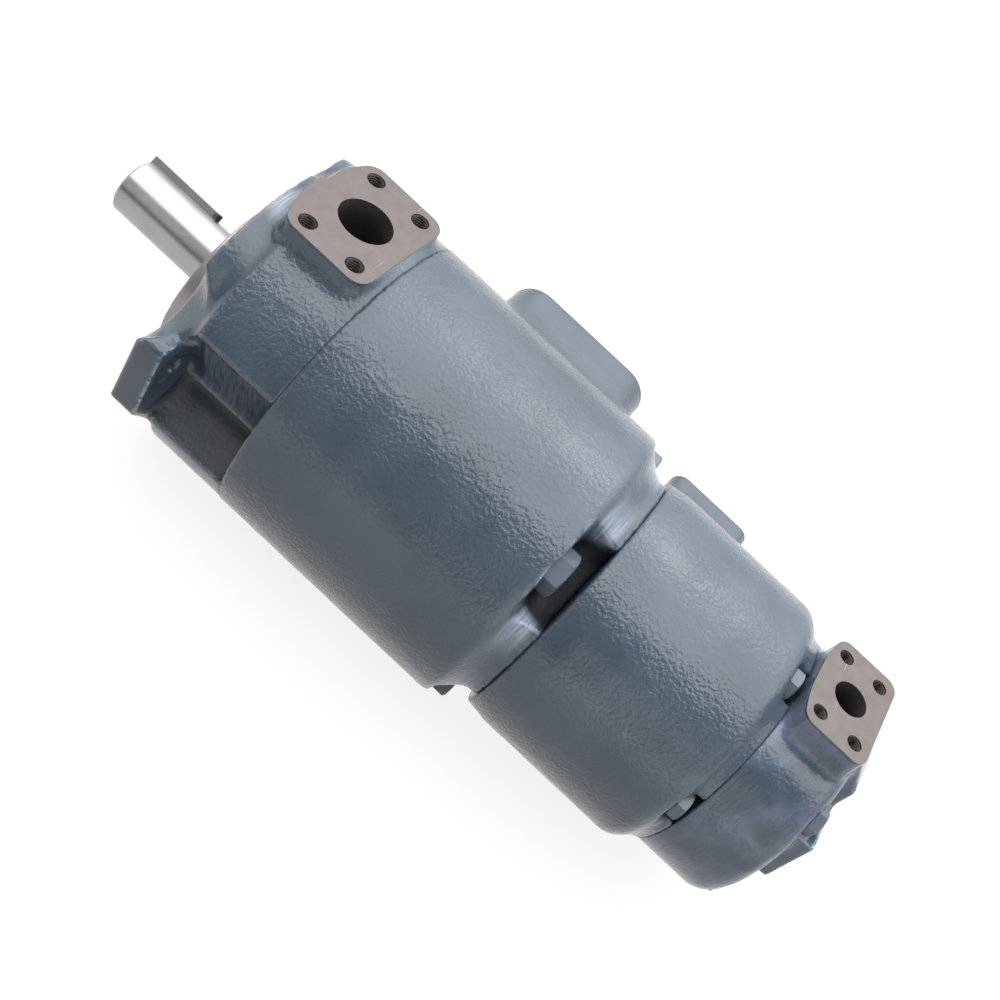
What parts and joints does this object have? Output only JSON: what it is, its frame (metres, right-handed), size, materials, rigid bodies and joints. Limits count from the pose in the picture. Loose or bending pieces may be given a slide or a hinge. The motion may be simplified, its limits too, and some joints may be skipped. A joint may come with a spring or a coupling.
{
  "type": "tandem hydraulic vane pump",
  "caption": "Flange-mounted tandem vane pump: cast bodies in line, keyed shaft, square port pads on top and inlet pads at the side, with its vane cartridges inside.",
  "frame": {"origin": "centre of the mounting flange's front face, on the shaft axis", "axes": "+X along the shaft axis from the flange towards the rear cover, +Z towards both outlet pads, +Y towards both inlet pads; the drive shaft points to -X"},
  "size_m": [0.578, 0.2345, 0.2131],
  "materials": {
    "housing_paint": "blue-grey machine enamel over a sand casting",
    "bolt_paint": "steel bolts painted over with the body",
    "seal_rubber": "matt black nitrile rubber",
    "shaft_steel": "ground",
    "key_steel": "cold drawn",
    "bearing_steel": "ground and polished",
    "cage_brass": "turned",
    "spring_steel": "blackened spring steel",
    "bush_bronze": "turned bronze",
    "ring_steel": "ground",
    "rotor_steel": "ground",
    "plate_iron": "fine ground",
    "screw_steel": "blackened",
    "vane_steel": "ground"
  },
  "bodies": {
    "housing": {"front_housing": "housing_paint", "main_body": "housing_paint", "rear_body": "housing_paint", "rear_cover": "housing_paint", "main_body_bolts": "bolt_paint", "rear_body_bolts": "bolt_paint", "rear_cover_bolts": "bolt_paint", "front_seam_o_ring": "seal_rubber", "mid_seam_o_ring": "seal_rubber", "rear_seam_o_ring": "seal_rubber", "bearing_outer_race": "bearing_steel", "bearing_snap_ring": "spring_steel", "seal_snap_ring": "spring_steel", "front_shaft_seal": "seal_rubber", "mid_shaft_seal": "seal_rubber", "mid_bush": "bush_bronze", "rear_bush": "bush_bronze", "main_cam_ring": "ring_steel", "main_pressure_plate": "plate_iron", "main_side_plate": "plate_iron", "main_plate_o_ring": "seal_rubber", "main_cartridge_screws": "screw_steel", "main_cartridge_dowels": "bearing_steel", "rear_cam_ring": "ring_steel", "rear_pressure_plate": "plate_iron", "rear_side_plate": "plate_iron", "rear_plate_o_ring": "seal_rubber", "rear_cartridge_screws": "screw_steel", "rear_cartridge_dowels": "bearing_steel"},
    "shaft": {"drive_shaft": "shaft_steel", "shaft_key": "key_steel", "shaft_snap_ring": "spring_steel", "bearing_inner_race": "bearing_steel", "main_rotor": "rotor_steel", "rear_rotor": "rotor_steel", "main_vane_01": "vane_steel", "main_vane_02": "vane_steel", "main_vane_03": "vane_steel", "main_vane_04": "vane_steel", "main_vane_05": "vane_steel", "main_vane_06": "vane_steel", "main_vane_07": "vane_steel", "main_vane_08": "vane_steel", "main_vane_09": "vane_steel", "main_vane_10": "vane_steel", "rear_vane_01": "vane_steel", "rear_vane_02": "vane_steel", "rear_vane_03": "vane_steel", "rear_vane_04": "vane_steel", "rear_vane_05": "vane_steel", "rear_vane_06": "vane_steel", "rear_vane_07": "vane_steel", "rear_vane_08": "vane_steel", "rear_vane_09": "vane_steel", "rear_vane_10": "vane_steel"},
    "bearing_set": {"bearing_cage": "cage_brass", "bearing_balls": "bearing_steel"}
  },
  "joints": [
    {"name": "shaft_spin", "type": "hinge", "parent": "housing", "child": "shaft", "pos_m": [0, 0, 0], "axis": [1, 0, 0], "continuous": true},
    {"name": "bearing_spin", "type": "hinge", "parent": "housing", "child": "bearing_set", "pos_m": [0.013, 0, 0], "axis": [1, 0, 0], "continuous": true}
  ],
  "couplings": [
    {"joint": "bearing_spin", "follows": "shaft_spin", "ratio": 0.4}
  ]
}
